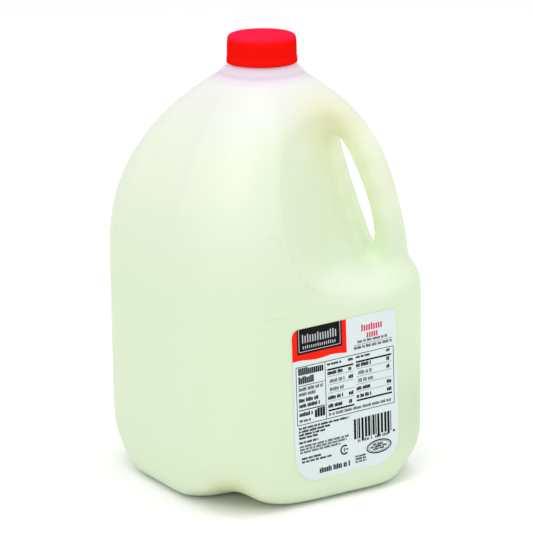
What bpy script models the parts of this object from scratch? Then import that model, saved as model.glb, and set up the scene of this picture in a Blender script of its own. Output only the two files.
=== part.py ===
# One-gallon blow-moulded milk jug: translucent shell with a hollow corner handle,
# the milk inside it, a ribbed red screw cap and a paper label.
# Metres, +Z up, origin at the bottom centre. +X points at the handle corner.
import math

import bmesh
import bpy
from mathutils import Vector

# The outline below is drawn at a 152 mm wide body and brought to the size at which
# the milk up to its level measures 3.785 litres. Wall and clearances stay as given.
DRAWN_TO_REAL = 0.9785

# Body: a rounded square standing on its corners' diagonal, domed at the top
SIDE_HALF = 0.0760
CORNER_APEX = 0.0933
NECK_BASE_R = 0.0244
NECK_BASE_Z = 0.2392
SIDE_DOME_Z = 0.1500
CORNER_DOME_Z = 0.1250

# Foot: rolled heel, corners cut off at a slant and a raised middle underneath.
# Each cut: angle of its corner, reach from the axis at the floor, reach gained per height
HEEL_R = 0.0102
CORNER_CUTS = [(0.0, 0.0795, 0.72), (90.0, 0.0662, 2.44), (180.0, 0.0729, 0.87)]
CUT_SOFTNESS = 0.0084
UNDER_RISE = 0.0045

# Notch in the front corner, half widths in degrees towards the handle and away from it
NOTCH_ANGLE = 89.4
NOTCH_DEPTH = 0.0114
NOTCH_LIFT = 0.0011
NOTCH_HEIGHT = 0.0387
NOTCH_NEAR = 13.3
NOTCH_FAR = 36.0
GROOVE_ANGLE = 92.0
GROOVE_DEPTH = 0.0046
GROOVE_HEIGHT = 0.0270
GROOVE_HALF = 12.0

# Neck under the cap
NECK_R = 0.0182
NECK_FOOT_Z = 0.2462
MOUTH_Z = 0.2586

# Handle and the finger opening behind it
HANDLE_SET_IN = 0.0070
HANDLE_SIDE_DROP = 0.0022
HANDLE_HALF_WIDTH = 0.0140
OPENING_LOW_Z = 0.1360
OPENING_HIGH_Z = 0.2070
NOSE_HALF_WIDTH = 0.0220
RECESS_STEP = 0.0022

# Wall, filling and clearances
WALL = 0.0010
CLEARANCE = 0.0004
FILL_Z = 0.2365

# Cap
CAP_TOP_Z = 0.2610
CAP_RIM_Z = 0.2458
CAP_TOP_R = 0.0194
CAP_SKIRT_R = 0.0200
CAP_BAND_R = 0.0206
CAP_WALL = 0.0012
CAP_EDGE_R = 0.0025
CAP_RIBS = 45
CAP_RIB_DEPTH = 0.0003

# Label on the side between the front corner and the handle corner
LABEL_W = 0.0711
LABEL_H = 0.0920
LABEL_SHIFT = 0.0068
LABEL_LOW_Z = 0.0162
LABEL_TURN = 1.6
LABEL_TOP_CORNER = 0.0045
LABEL_FOOT_CORNER = 0.0155
LABEL_SHEET = 0.0002

# Stations round half of the body, in degrees from the handle corner
STATIONS = [0, 6, 12, 19, 27, 37, 47, 58, 68.5, 71, 76, 81, 86, 90, 94, 98.5, 104,
            112, 122, 135, 148, 158, 165, 172.5, 180]
HANDLE_EDGE = 3
NOSE_EDGE = 4
OUTLINE = 8

# Heights of the rows above the heel
SIDE_ROWS = [0.014, 0.020, 0.027, 0.045, 0.080, 0.108, 0.117, 0.121, 0.125, 0.1305]
OPENING_ROWS = [0.136, 0.140, 0.147, 0.156, 0.166, 0.176, 0.186, 0.195, 0.202, 0.207]
DOME_ROWS = [0.213, 0.219, 0.225, 0.230, 0.2345, 0.2375]


def clear_scene():
    for item in list(bpy.data.objects):
        bpy.data.objects.remove(item, do_unlink=True)


def smooth(low, high, value):
    t = min(1.0, max(0.0, (value - low) / (high - low)))
    return t * t * (3.0 - 2.0 * t)


def dome(z, start, wide, p, q):
    t = min(1.0, max(0.0, (z - start) / (NECK_BASE_Z - start)))
    return NECK_BASE_R + (wide - NECK_BASE_R) * (1.0 - t ** p) ** (1.0 / q)


def side_half(z):
    return dome(z, SIDE_DOME_Z, SIDE_HALF, 2.0, 1.10)


def heel_inset(z):
    if z >= HEEL_R:
        return 0.0
    return HEEL_R - math.sqrt(max(0.0, HEEL_R ** 2 - (HEEL_R - z) ** 2))


def notch_share(angle, z):
    """How deep the front notch is at an angle and a height, 0 to 1."""
    off = angle - NOTCH_ANGLE
    spread = off / NOTCH_FAR if off > 0.0 else -off / NOTCH_NEAR
    if spread >= 1.0 or z >= NOTCH_HEIGHT:
        return 0.0
    return (1.0 - spread ** 2) ** 3 * (1.0 - z / NOTCH_HEIGHT) ** 1.73


def groove_depth(angle, z):
    """A narrower groove in the middle of the notch."""
    spread = abs(angle - GROOVE_ANGLE) / GROOVE_HALF
    if spread >= 1.0 or z >= GROOVE_HEIGHT:
        return 0.0
    return GROOVE_DEPTH * (1.0 - spread ** 2) ** 1.5 * (1.0 - (z / GROOVE_HEIGHT) ** 2)


def cut_corners(radius, angle, z):
    """The radius after the slanting cuts, blended softly at their edges."""
    for corner, reach, slant in CORNER_CUTS:
        lean = math.cos(math.radians(angle - corner))
        if lean > 0.5:
            cut = (reach + slant * z) / lean
            share = min(1.0, max(0.0, 0.5 + 0.5 * (cut - radius) / CUT_SOFTNESS))
            soft = CUT_SOFTNESS * share * (1.0 - share)
            radius = cut * (1.0 - share) + radius * share - soft
    return radius


def outline_radius(angle, z):
    """Distance from the axis to the plain body at an angle and a height."""
    half = side_half(z) - heel_inset(z)
    fuller = smooth(60.0, 120.0, angle)
    apex = dome(z, CORNER_DOME_Z, CORNER_APEX, 2.1 + 0.4 * fuller, 1.25 - 0.19 * fuller)
    apex -= 1.2 * heel_inset(z)
    half = min(half, apex)
    root = math.sqrt(2.0)
    bend = min(half, max(0.001, (root * half - apex) / (root - 1.0)))
    turn = math.radians(angle % 90.0)
    turn = min(turn, math.pi / 2.0 - turn)
    centre = (half - bend) * root
    edge = math.atan2(bend * math.sin(math.pi / 4), centre + bend * math.cos(math.pi / 4))
    if turn < edge:
        reach = centre * math.sin(turn)
        radius = centre * math.cos(turn) + math.sqrt(max(0.0, bend ** 2 - reach ** 2))
    else:
        radius = half / math.cos(math.pi / 4 - turn)
    slope = smooth(0.212, 0.232, z) * (1.0 - smooth(30.0, 80.0, angle))
    radius = cut_corners(radius, angle, z) - NOTCH_DEPTH * notch_share(angle, z)
    return radius - groove_depth(angle, z) - HANDLE_SIDE_DROP * slope


def plain_point(angle, z):
    radius = outline_radius(angle, z)
    turn = math.radians(angle)
    rise = NOTCH_LIFT * notch_share(angle, z)
    return Vector((radius * math.cos(turn), -radius * math.sin(turn), z + rise))


def handle_outer(z):
    """Outer edge of the handle in the middle plane."""
    set_in = smooth(0.114, 0.134, z) * (1.0 - smooth(0.155, 0.218, z))
    return outline_radius(0.0, z) - HANDLE_SET_IN * set_in


def handle_inner(z):
    """Inner edge of the handle, the far side of the finger opening."""
    t = min(1.0, max(0.0, (OPENING_HIGH_Z - z) / 0.063))
    edge = 0.0445 + 0.0220 * (1.0 - (1.0 - t) ** 1.7)
    return edge - 0.0050 * (1.0 - smooth(0.130, 0.144, z))


def nose_front(z):
    """Body side of the finger opening."""
    t = min(1.15, max(0.0, (OPENING_HIGH_Z - z) / 0.066))
    return 0.0410 + 0.0180 * t ** 1.35


def recessed_points(z):
    """Stations of the section with the handle standing clear of the body."""
    outer = handle_outer(z)
    inner = handle_inner(z)
    nose = nose_front(z)
    middle = (outer + inner) / 2.0
    reach = (outer - inner) / 2.0
    shrink = side_half(z) / SIDE_HALF
    wide = HANDLE_HALF_WIDTH
    clear = smooth(0.128, 0.142, z) * (1.0 - smooth(0.199, 0.213, z))
    inside = wide * (0.98 - 0.43 * clear)
    points = [Vector((outer, 0.0, z)),
              Vector((middle + 0.76 * reach, -0.70 * wide, z)),
              Vector((middle, -wide, z)),
              Vector((middle - 0.86 * reach, -inside, z)),
              Vector((nose, -NOSE_HALF_WIDTH * shrink, z)),
              Vector((nose - 0.0035, -0.0330 * shrink, z))]
    far = plain_point(STATIONS[OUTLINE], z)
    far -= Vector((far.x, far.y, 0.0)).normalized() * RECESS_STEP
    near = points[5]
    points.append(near.lerp(far, 0.36))
    points.append(near.lerp(far, 0.70))
    points.append(far)
    return points


def recess_share(angle, z):
    """How far a point has sunk from the plain body into the recess, 0 to 1."""
    low = 0.1165 + 0.038 * (max(0.0, angle - 35.0) / 33.0) ** 3
    high = 0.2270 - 0.030 * (angle / 70.0) ** 8
    ledge = min(1.0, max(0.0, (z - low) / 0.019))
    return ledge * ledge * (2.0 - ledge) * (1.0 - smooth(high - 0.014, high, z))


def row_points(z):
    points = [plain_point(angle, z) for angle in STATIONS]
    if z > 0.115:
        sunk = recessed_points(z)
        for index in range(OUTLINE + 1):
            share = recess_share(STATIONS[index], z)
            points[index] = points[index].lerp(sunk[index], share)
        points[0] = Vector((handle_outer(z), 0.0, z))
    points[0].y = 0.0
    points[-1].y = 0.0
    return points


def body_rows():
    """Rows from the underside, over the heel and up to the dome."""
    rows = []
    foot = row_points(0.0)
    for size, rise in ((0.30, 0.96), (0.60, 0.78), (0.80, 0.30), (0.90, 0.0)):
        rows.append([Vector((p.x * size, p.y * size, max(p.z * size, UNDER_RISE * rise)))
                     for p in foot])
    rows.append(foot)
    for turn in (30.0, 60.0, 90.0):
        rows.append(row_points(HEEL_R * (1.0 - math.cos(math.radians(turn)))))
    for z in SIDE_ROWS + OPENING_ROWS + DOME_ROWS:
        rows.append(row_points(z))
    return rows


def neck_rows():
    rows = []
    profile = [(NECK_BASE_R, NECK_BASE_Z), (0.0238, 0.2408), (0.0212, 0.2429),
               (0.0197, 0.2440), (NECK_R, NECK_FOOT_Z), (NECK_R, MOUTH_Z)]
    for radius, z in profile:
        ring = []
        for angle in STATIONS:
            turn = math.radians(angle)
            ring.append(Vector((radius * math.cos(turn), -radius * math.sin(turn), z)))
        ring[0].y = 0.0
        ring[-1].y = 0.0
        rows.append(ring)
    return rows


def tunnel_point(rim, edge_x, z, depth):
    """A point on the tunnel wall, from the rim (0) to the middle plane (1)."""
    bow = math.sin(depth * math.pi / 2.0)
    x = rim.x + (edge_x - rim.x) * bow
    return Vector((x, rim.y * (1.0 - depth), z))


def to_real_size(bm):
    bmesh.ops.scale(bm, vec=(DRAWN_TO_REAL,) * 3, verts=bm.verts[:])


def skin_mesh(name, with_neck):
    """Half of the outer skin, to be mirrored; closed at the top for the filling."""
    rows = body_rows()
    if with_neck:
        rows += neck_rows()
    bm = bmesh.new()
    grid = [[bm.verts.new(point) for point in row] for row in rows]
    pole = bm.verts.new(Vector((0.0, 0.0, UNDER_RISE)))
    last = len(STATIONS) - 1
    for index in range(last):
        bm.faces.new((pole, grid[0][index + 1], grid[0][index]))
    first_open = 8 + len(SIDE_ROWS)
    last_open = first_open + len(OPENING_ROWS) - 1
    for level in range(len(grid) - 1):
        for index in range(last):
            opened = first_open <= level < last_open
            if opened and index == HANDLE_EDGE:
                continue
            bm.faces.new((grid[level][index], grid[level][index + 1],
                          grid[level + 1][index + 1], grid[level + 1][index]))
    depths = (0.5, 1.0)
    before = [[grid[k][HANDLE_EDGE], grid[k][NOSE_EDGE]]
              for k in range(first_open, last_open + 1)]
    for depth in depths:
        after = []
        for k, z in enumerate(OPENING_ROWS):
            rims = grid[first_open + k]
            lift = 0.0
            if k == 0:
                lift = 0.0020
            if k == len(OPENING_ROWS) - 1:
                lift = -0.0035
            shift = lift * math.sin(depth * math.pi / 2.0)
            inner = tunnel_point(rims[HANDLE_EDGE].co, handle_inner(z), z + shift, depth)
            nose = tunnel_point(rims[NOSE_EDGE].co, nose_front(z) + 0.0012, z + shift, depth)
            if inner.x - nose.x < 0.003:
                inner.x = nose.x + 0.003
            after.append([bm.verts.new(inner), bm.verts.new(nose)])
        for k in range(len(OPENING_ROWS) - 1):
            bm.faces.new((before[k][0], after[k][0], after[k + 1][0], before[k + 1][0]))
            bm.faces.new((before[k][1], before[k + 1][1], after[k + 1][1], after[k][1]))
        bm.faces.new((before[0][0], before[0][1], after[0][1], after[0][0]))
        bm.faces.new((before[-1][0], after[-1][0], after[-1][1], before[-1][1]))
        before = after
    if not with_neck:
        bm.faces.new(grid[-1])
    bmesh.ops.reverse_faces(bm, faces=bm.faces[:])
    to_real_size(bm)
    bm.normal_update()
    mesh = bpy.data.meshes.new(name)
    bm.to_mesh(mesh)
    bm.free()
    for face in mesh.polygons:
        face.use_smooth = True
    return mesh


def material(name, colour, roughness):
    made = bpy.data.materials.new(name)
    made.use_nodes = True
    shader = made.node_tree.nodes["Principled BSDF"]
    shader.inputs["Base Color"].default_value = (*colour, 1.0)
    shader.inputs["Roughness"].default_value = roughness
    return made


def add_object(name, mesh, look):
    made = bpy.data.objects.new(name, mesh)
    bpy.context.scene.collection.objects.link(made)
    mesh.materials.append(look)
    return made


def mirror_across(target):
    step = target.modifiers.new("Mirror", "MIRROR")
    step.use_axis = (False, True, False)
    step.merge_threshold = 0.00005
    return step


def build_jug():
    look = material("jug_hdpe", (0.86, 0.90, 0.82), 0.38)
    jug = add_object("jug", skin_mesh("jug", True), look)
    mirror_across(jug)
    shell = jug.modifiers.new("Wall", "SOLIDIFY")
    shell.thickness = WALL
    shell.offset = -1.0
    return jug


def build_milk():
    look = material("milk_white", (0.92, 0.93, 0.86), 0.30)
    milk = add_object("milk", skin_mesh("milk", False), look)
    mirror_across(milk)
    shrink = milk.modifiers.new("Inside the wall", "DISPLACE")
    shrink.strength = -(WALL + CLEARANCE)
    shrink.mid_level = 0.0
    mesh = bpy.data.meshes.new("fill_cutter")
    bm = bmesh.new()
    bmesh.ops.create_cube(bm, size=0.2)
    bm.to_mesh(mesh)
    bm.free()
    cutter = bpy.data.objects.new("fill_cutter", mesh)
    bpy.context.scene.collection.objects.link(cutter)
    cutter.location = (0.0, 0.0, FILL_Z * DRAWN_TO_REAL + 0.1)
    cutter.hide_render = True
    cutter.display_type = "WIRE"
    level = milk.modifiers.new("Level", "BOOLEAN")
    level.operation = "DIFFERENCE"
    level.solver = "EXACT"
    level.object = cutter
    return milk


def cap_profile():
    """Outer edge from the rim up to the top, then the inside back down."""
    band_top = CAP_RIM_Z + 0.0040
    shoulder = CAP_TOP_Z - CAP_EDGE_R
    outer = [(CAP_BAND_R, CAP_RIM_Z), (CAP_BAND_R - 0.0002, band_top - 0.0004),
             (CAP_SKIRT_R, band_top), (CAP_TOP_R + 0.0004, shoulder)]
    for turn in (30.0, 60.0, 90.0):
        angle = math.radians(turn)
        outer.append((CAP_TOP_R + 0.0004 - CAP_EDGE_R * (1.0 - math.cos(angle)),
                      shoulder + CAP_EDGE_R * math.sin(angle)))
    inner_r = NECK_R + CLEARANCE
    inner = [(inner_r - 0.0010, CAP_TOP_Z - CAP_WALL), (inner_r, CAP_TOP_Z - CAP_WALL - 0.0008),
             (inner_r, CAP_RIM_Z + 0.0030), (CAP_BAND_R - CAP_WALL, CAP_RIM_Z)]
    return outer, inner


def build_cap():
    look = material("cap_red", (0.80, 0.02, 0.02), 0.35)
    outer, inner = cap_profile()
    bm = bmesh.new()
    count = CAP_RIBS * 2
    rings = []
    for place, (radius, z) in enumerate(outer + inner):
        ring = []
        for step in range(count):
            turn = 2.0 * math.pi * step / count
            ribbed = place in (2, 3)
            size = radius - (CAP_RIB_DEPTH if ribbed and step % 2 else 0.0)
            ring.append(bm.verts.new(Vector((size * math.cos(turn), size * math.sin(turn), z))))
        rings.append(ring)
    top = len(outer) - 1
    for place in range(len(rings) - 1):
        if place == top:
            continue
        for step in range(count):
            after = (step + 1) % count
            bm.faces.new((rings[place][step], rings[place][after],
                          rings[place + 1][after], rings[place + 1][step]))
    for step in range(count):
        after = (step + 1) % count
        bm.faces.new((rings[-1][step], rings[-1][after], rings[0][after], rings[0][step]))
    bm.faces.new(rings[top])
    bm.faces.new(list(reversed(rings[top + 1])))
    bmesh.ops.recalc_face_normals(bm, faces=bm.faces[:])
    to_real_size(bm)
    mesh = bpy.data.meshes.new("cap")
    bm.to_mesh(mesh)
    bm.free()
    for face in mesh.polygons:
        face.use_smooth = len(face.vertices) == 4
    return add_object("cap", mesh, look)


def label_outline():
    """Corners of the sheet in its own plane: across, up."""
    left = LABEL_SHIFT - LABEL_W / 2.0
    right = LABEL_SHIFT + LABEL_W / 2.0
    low = LABEL_LOW_Z
    high = LABEL_LOW_Z + LABEL_H
    corners = [(left, low, LABEL_FOOT_CORNER, 180.0), (right, low, LABEL_FOOT_CORNER, 270.0),
               (right, high, LABEL_TOP_CORNER, 0.0), (left, high, LABEL_TOP_CORNER, 90.0)]
    points = []
    for x, z, bend, start in corners:
        inward_x = bend if x == left else -bend
        inward_z = bend if z == low else -bend
        for step in range(7):
            angle = math.radians(start + 15.0 * step)
            points.append((x + inward_x + bend * math.cos(angle),
                           z + inward_z + bend * math.sin(angle)))
    turn = math.radians(LABEL_TURN)
    middle_z = LABEL_LOW_Z + LABEL_H / 2.0
    turned = []
    for x, z in points:
        off_x = x - LABEL_SHIFT
        off_z = z - middle_z
        turned.append((LABEL_SHIFT + off_x * math.cos(turn) - off_z * math.sin(turn),
                       middle_z + off_x * math.sin(turn) + off_z * math.cos(turn)))
    return turned


def build_label():
    look = material("label_paper", (0.86, 0.88, 0.88), 0.55)
    root = math.sqrt(0.5)
    bm = bmesh.new()
    sheets = []
    for lift in (CLEARANCE, CLEARANCE + LABEL_SHEET):
        face = SIDE_HALF + lift
        sheet = []
        for across, up in label_outline():
            sheet.append(bm.verts.new(Vector((root * (face + across),
                                              root * (across - face), up))))
        sheets.append(sheet)
    bm.faces.new(list(reversed(sheets[0])))
    bm.faces.new(sheets[1])
    count = len(sheets[0])
    for step in range(count):
        after = (step + 1) % count
        bm.faces.new((sheets[0][step], sheets[0][after], sheets[1][after], sheets[1][step]))
    bmesh.ops.recalc_face_normals(bm, faces=bm.faces[:])
    to_real_size(bm)
    mesh = bpy.data.meshes.new("label")
    bm.to_mesh(mesh)
    bm.free()
    return add_object("label", mesh, look)


clear_scene()
build_jug()
build_milk()
build_cap()
build_label()
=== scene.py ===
# Looks of the one-gallon milk jug: smooth translucent skin, milk, ribbed cap and
# printed label, standing on a pale studio floor.
import math
import random

import bmesh
import bpy
from mathutils import Matrix, Vector
from mathutils.bvhtree import BVHTree


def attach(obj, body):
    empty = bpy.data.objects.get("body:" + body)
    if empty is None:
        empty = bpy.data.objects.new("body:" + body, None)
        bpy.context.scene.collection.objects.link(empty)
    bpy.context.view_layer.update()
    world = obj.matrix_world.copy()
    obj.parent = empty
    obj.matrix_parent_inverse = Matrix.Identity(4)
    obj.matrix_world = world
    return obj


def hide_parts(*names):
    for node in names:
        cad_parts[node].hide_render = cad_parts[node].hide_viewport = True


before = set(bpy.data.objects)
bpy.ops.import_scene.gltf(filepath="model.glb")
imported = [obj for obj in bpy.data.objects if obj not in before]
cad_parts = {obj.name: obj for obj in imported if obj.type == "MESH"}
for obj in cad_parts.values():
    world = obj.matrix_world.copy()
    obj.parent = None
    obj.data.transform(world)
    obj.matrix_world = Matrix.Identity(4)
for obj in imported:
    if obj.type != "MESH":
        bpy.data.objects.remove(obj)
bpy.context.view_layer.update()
print("stage: frame loaded")

# Size of the drawn outline against the real jug, and the body's own sizes in metres
size = {
    "drawnToReal": 0.9785,
    "sideHalf": 0.0760,
    "cornerApex": 0.0933,
    "neckBaseR": 0.0244,
    "neckBaseZ": 0.2392,
    "sideDomeZ": 0.1500,
    "cornerDomeZ": 0.1250,
    "sideCurve": (2.0, 1.10),
    "cornerCurve": (2.1, 1.25),
    "heelR": 0.0102,
    "heelCorner": 1.2,
    "underRise": 0.0045,
    "wall": 0.0010,
}
# The corners away from the handle have fuller shoulders
fuller = {"fromAngle": 60.0, "toAngle": 120.0, "start": 0.4, "end": 0.19}
# Corner angle, distance of the cut at the floor and how fast it moves out with height
cornerCuts = [(0.0, 0.0795, 0.72), (90.0, 0.0662, 2.44), (180.0, 0.0729, 0.87)]
cutSoftness = 0.0084
notch = {"angle": 89.4, "depth": 0.0114, "lift": 0.0011, "height": 0.0387, "near": 13.3, "far": 36.0}
groove = {"angle": 92.0, "depth": 0.0046, "height": 0.0270, "half": 12.0}
panel = {"inset": 0.0007, "from": 115.4, "to": 154.6, "edge": 1.8, "lowZ": 0.126, "highZ": 0.2310,
         "lowBlend": 0.012, "highBlend": 0.006}
neck = {"radius": 0.0182, "footZ": 0.2462, "mouthZ": 0.2586, "blend": 0.0004}
neckSteps = [(0.0239, 0.2406), (0.0232, 0.2413), (0.0212, 0.2429), (0.0197, 0.2440)]
handle = {
    "setIn": 0.0070, "setInZ": (0.114, 0.134), "setOutZ": (0.155, 0.218),
    "sideDrop": 0.0022, "sideDropZ": (0.212, 0.232), "sideDropAngle": (30.0, 80.0),
    "halfWidth": 0.0140, "clearFromZ": (0.128, 0.142), "clearToZ": (0.199, 0.213),
    "rootWidth": 0.98, "slimmer": 0.43,
}
opening = {
    "highZ": 0.207, "noseHalfWidth": 0.0220, "bulge": 0.0012,
    "innerX": 0.0445, "innerReach": 0.0220, "innerTall": 0.063, "innerCurve": 1.7,
    "footDraw": 0.0050, "footDrawZ": (0.130, 0.144),
    "noseX": 0.0410, "noseReach": 0.0180, "noseTall": 0.066, "noseCurve": 1.35, "noseLimit": 1.15,
    "footLift": 0.0020, "headDrop": 0.0035, "leastGap": 0.003,
}
recess = {
    "step": 0.0024, "outlineAngle": 68.5, "startZ": 0.112, "behindNose": 0.0035,
    "floorHalfWidth": 0.0330, "floorShares": (0.36, 0.70, 0.90),
    "ledgeZ": 0.1165, "ledgeRise": 0.038, "ledgeAngle": (35.0, 33.0), "ledgeTall": 0.019,
    "topZ": 0.2270, "topDrop": 0.030, "topAngle": 70.0, "topBlend": 0.014,
}

handleStations = [0, 6, 12, 19, 27, 37, 47, 58, 66, 68.5]
plainStations = [70.3, 72.5, 77, 81.5, 85, 87.7, 90, 92.3, 95.5, 100, 105, 111, 115.4, 117.2, 122,
                 135, 148, 152.8, 154.6, 158, 165, 172.5, 180]
stations = handleStations + plainStations
handleEdge = 3
noseEdge = 4

sideRows = [0.014, 0.0185, 0.023, 0.029, 0.045, 0.080, 0.106, 0.112, 0.117, 0.121, 0.1255, 0.131]
openingRows = [0.136, 0.140, 0.147, 0.156, 0.166, 0.176, 0.186, 0.195, 0.202, 0.207]
domeRows = [0.213, 0.219, 0.225, 0.230, 0.2345, 0.2375]
# Rings under the foot: share of the foot's outline and of the rise; then the heel's turns
underRings = [(0.30, 0.96), (0.60, 0.78), (0.80, 0.30), (0.90, 0.0)]
heelTurns = (30.0, 60.0, 90.0)


def smooth(low, high, value):
    t = min(1.0, max(0.0, (value - low) / (high - low)))
    return t * t * (3.0 - 2.0 * t)


# Half width at a height of a shoulder that leaves the wall at start and ends at the neck
def dome(z, start, wide, p, q):
    t = min(1.0, max(0.0, (z - start) / (size["neckBaseZ"] - start)))
    return size["neckBaseR"] + (wide - size["neckBaseR"]) * (1.0 - t ** p) ** (1.0 / q)


def sideHalf(z):
    return dome(z, size["sideDomeZ"], size["sideHalf"], *size["sideCurve"])


def heelInset(z):
    bend = size["heelR"]
    if z >= bend:
        return 0.0
    return bend - math.sqrt(max(0.0, bend ** 2 - (bend - z) ** 2))


def notchShare(angle, z):
    off = angle - notch["angle"]
    spread = off / notch["far"] if off > 0.0 else -off / notch["near"]
    if spread >= 1.0 or z >= notch["height"]:
        return 0.0
    return (1.0 - spread ** 2) ** 3 * (1.0 - z / notch["height"]) ** 1.73


def grooveDepth(angle, z):
    spread = abs(angle - groove["angle"]) / groove["half"]
    if spread >= 1.0 or z >= groove["height"]:
        return 0.0
    return groove["depth"] * (1.0 - spread ** 2) ** 1.5 * (1.0 - (z / groove["height"]) ** 2)


def cutCorners(radius, angle, z):
    for corner, reach, slant in cornerCuts:
        lean = math.cos(math.radians(angle - corner))
        if lean > 0.5:
            cut = (reach + slant * z) / lean
            share = min(1.0, max(0.0, 0.5 + 0.5 * (cut - radius) / cutSoftness))
            radius = cut * (1.0 - share) + radius * share - cutSoftness * share * (1.0 - share)
    return radius


# The flat side panels at the back lie a little deeper than the corners
def panelInset(angle, z):
    across = smooth(panel["from"], panel["from"] + panel["edge"], angle)
    across *= 1.0 - smooth(panel["to"] - panel["edge"], panel["to"], angle)
    up = smooth(panel["lowZ"], panel["lowZ"] + panel["lowBlend"], z)
    down = 1.0 - smooth(panel["highZ"] - panel["highBlend"], panel["highZ"], z)
    return panel["inset"] * across * up * down


# Distance of the wall from the middle axis: a square with round corners, less its cuts
def outlineRadius(angle, z):
    half = sideHalf(z) - heelInset(z)
    share = smooth(fuller["fromAngle"], fuller["toAngle"], angle)
    start, end = size["cornerCurve"]
    apex = dome(z, size["cornerDomeZ"], size["cornerApex"], start + fuller["start"] * share,
                end - fuller["end"] * share) - size["heelCorner"] * heelInset(z)
    half = min(half, apex)
    root = math.sqrt(2.0)
    bend = min(half, max(0.001, (root * half - apex) / (root - 1.0)))
    turn = math.radians(angle % 90.0)
    turn = min(turn, math.pi / 2.0 - turn)
    centre = (half - bend) * root
    edge = math.atan2(bend * math.sin(math.pi / 4), centre + bend * math.cos(math.pi / 4))
    if turn < edge:
        reach = centre * math.sin(turn)
        radius = centre * math.cos(turn) + math.sqrt(max(0.0, bend ** 2 - reach ** 2))
    else:
        radius = half / math.cos(math.pi / 4 - turn)
    slope = smooth(*handle["sideDropZ"], z) * (1.0 - smooth(*handle["sideDropAngle"], angle))
    radius = cutCorners(radius, angle, z) - notch["depth"] * notchShare(angle, z)
    return radius - grooveDepth(angle, z) - panelInset(angle, z) - handle["sideDrop"] * slope


def plainPoint(angle, z):
    radius = outlineRadius(angle, z)
    turn = math.radians(angle)
    rise = notch["lift"] * notchShare(angle, z)
    return Vector((radius * math.cos(turn), -radius * math.sin(turn), z + rise))


def handleOuter(z):
    setIn = smooth(*handle["setInZ"], z) * (1.0 - smooth(*handle["setOutZ"], z))
    return outlineRadius(0.0, z) - handle["setIn"] * setIn


def handleInner(z):
    t = min(1.0, max(0.0, (opening["highZ"] - z) / opening["innerTall"]))
    edge = opening["innerX"] + opening["innerReach"] * (1.0 - (1.0 - t) ** opening["innerCurve"])
    return edge - opening["footDraw"] * (1.0 - smooth(*opening["footDrawZ"], z))


def noseFront(z):
    t = min(opening["noseLimit"], max(0.0, (opening["highZ"] - z) / opening["noseTall"]))
    return opening["noseX"] + opening["noseReach"] * t ** opening["noseCurve"]


# One row of points from the handle's front, round it and over the recess to its outline
def recessedPoints(z):
    outer = handleOuter(z)
    inner = handleInner(z)
    nose = noseFront(z)
    middle = (outer + inner) / 2.0
    reach = (outer - inner) / 2.0
    shrink = sideHalf(z) / size["sideHalf"]
    wide = handle["halfWidth"]
    clear = smooth(*handle["clearFromZ"], z) * (1.0 - smooth(*handle["clearToZ"], z))
    inside = wide * (handle["rootWidth"] - handle["slimmer"] * clear)
    points = [Vector((outer, 0.0, z)),
              Vector((middle + 0.76 * reach, -0.70 * wide, z)),
              Vector((middle, -wide, z)),
              Vector((middle - 0.86 * reach, -inside, z)),
              Vector((nose, -opening["noseHalfWidth"] * shrink, z)),
              Vector((nose - recess["behindNose"], -recess["floorHalfWidth"] * shrink, z))]
    far = plainPoint(recess["outlineAngle"], z)
    far -= Vector((far.x, far.y, 0.0)).normalized() * recess["step"]
    near = points[-1]
    for share in recess["floorShares"]:
        points.append(near.lerp(far, share))
    points.append(far)
    return points


def recessShare(angle, z):
    start, spread = recess["ledgeAngle"]
    low = recess["ledgeZ"] + recess["ledgeRise"] * (max(0.0, angle - start) / spread) ** 3
    high = recess["topZ"] - recess["topDrop"] * (angle / recess["topAngle"]) ** 8
    ledge = min(1.0, max(0.0, (z - low) / recess["ledgeTall"]))
    return ledge * ledge * (2.0 - ledge) * (1.0 - smooth(high - recess["topBlend"], high, z))


def rowPoints(z):
    points = [plainPoint(angle, z) for angle in stations]
    if z > recess["startZ"]:
        sunk = recessedPoints(z)
        for index, point in enumerate(sunk):
            points[index] = points[index].lerp(point, recessShare(stations[index], z))
        points[0] = Vector((handleOuter(z), 0.0, z))
    points[0].y = 0.0
    points[-1].y = 0.0
    return points


def bodyRows():
    foot = rowPoints(0.0)
    rows = []
    for scale, rise in underRings:
        lift = size["underRise"] * rise
        rows.append([Vector((p.x * scale, p.y * scale, max(p.z * scale, lift))) for p in foot])
    rows.append(foot)
    for turn in heelTurns:
        rows.append(rowPoints(size["heelR"] * (1.0 - math.cos(math.radians(turn)))))
    for z in sideRows + openingRows + domeRows:
        rows.append(rowPoints(z))
    return rows


def neckRows():
    profile = [(size["neckBaseR"] + neck["blend"], size["neckBaseZ"] - neck["blend"]),
               (size["neckBaseR"], size["neckBaseZ"])]
    profile += neckSteps
    profile += [(neck["radius"], neck["footZ"]), (neck["radius"], neck["mouthZ"])]
    rows = []
    for radius, z in profile:
        ring = []
        for angle in stations:
            turn = math.radians(angle)
            ring.append(Vector((radius * math.cos(turn), -radius * math.sin(turn), z)))
        ring[0].y = 0.0
        ring[-1].y = 0.0
        rows.append(ring)
    return rows


# A point on the opening's wall: depth 0 at the rim, 1 on the handle plane
def tunnelPoint(rim, edgeX, z, depth):
    bow = math.sin(depth * math.pi / 2.0)
    return Vector((rim.x + (edgeX - rim.x) * bow, rim.y * (1.0 - depth), z))


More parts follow.
